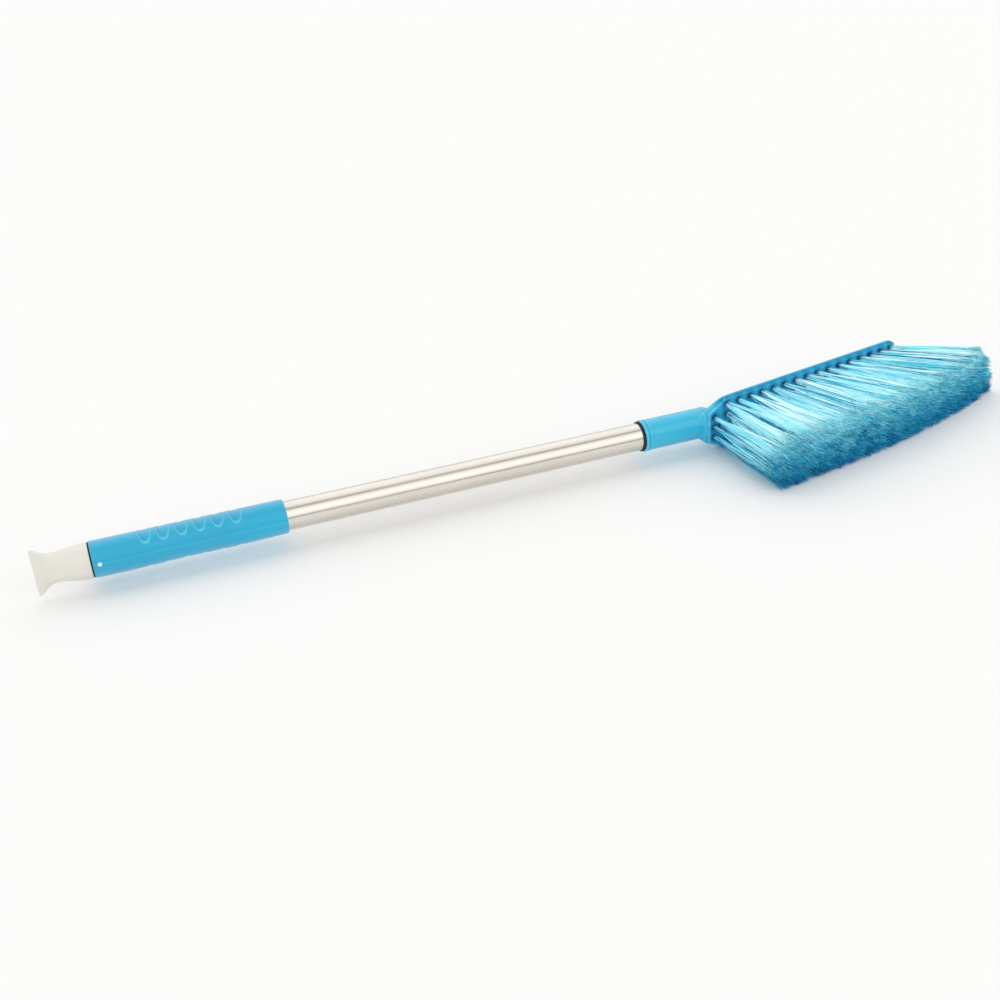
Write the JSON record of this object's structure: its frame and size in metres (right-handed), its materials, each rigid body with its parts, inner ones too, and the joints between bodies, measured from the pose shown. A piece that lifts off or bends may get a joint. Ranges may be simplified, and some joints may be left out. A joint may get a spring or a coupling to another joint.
{
  "type": "windshield ice scraper",
  "caption": "Telescopic snow brush for a car: steel pole with a plastic grip, an ice scraper on its butt and an angled block of soft bristles.",
  "frame": {"origin": "on the pole's axis, where the bare outer tube leaves the grip sleeve", "axes": "+X along the pole from the grip to the brush head; -Y the way the bristles point; Z across the brush block, up as the tool lies on its side"},
  "size_m": [0.9032, 0.1527, 0.0498],
  "materials": {
    "scraper_plastic": "satin moulded, off-white",
    "grip_plastic": "gloss moulded, bright blue",
    "head_plastic": "gloss moulded, bright blue",
    "tube_steel": "satin stainless, drawn lengthwise",
    "zinc_steel": "bright zinc",
    "staple_wire": "drawn wire",
    "black_plastic": "moulded, black",
    "grey_plastic": "moulded, grey",
    "lock_plastic": "moulded, natural white",
    "bristle": "soft split filament, cyan to deep blue"
  },
  "bodies": {
    "pole": {"scraper_blade": "scraper_plastic", "scraper_pin": "zinc_steel", "butt_ring": "black_plastic", "grip_sleeve": "grip_plastic", "outer_tube": "tube_steel", "guide_bush": "black_plastic"},
    "expander": {"lock_expander": "lock_plastic"},
    "head_section": {"inner_tube": "tube_steel", "lock_plug": "grey_plastic", "plug_pin": "zinc_steel", "lock_stud": "zinc_steel", "stud_nut": "zinc_steel", "brush_head": "head_plastic", "head_screw": "zinc_steel", "tuft_staples": "staple_wire", "bristles_nose": "bristle", "bristles_centre": "bristle", "bristles_inner_top": "bristle", "bristles_inner_low": "bristle", "bristles_outer_top": "bristle", "bristles_outer_low": "bristle"},
    "cone": {"lock_cone": "lock_plastic"}
  },
  "joints": [
    {"name": "telescope_slide", "type": "slide", "parent": "pole", "child": "expander", "axis": [1, 0, 0], "range_m": [0, 0.3]},
    {"name": "twist_turn", "type": "hinge", "parent": "expander", "child": "head_section", "pos_m": [0, 0, 0], "axis": [1, 0, 0], "range_deg": [-180, 180]},
    {"name": "cone_travel", "type": "slide", "parent": "expander", "child": "cone", "axis": [1, 0, 0], "range_m": [-0.00101, 0.00101]}
  ],
  "couplings": [
    {"joint": "cone_travel", "follows": "twist_turn", "m_per_rad": -0.00031831}
  ]
}
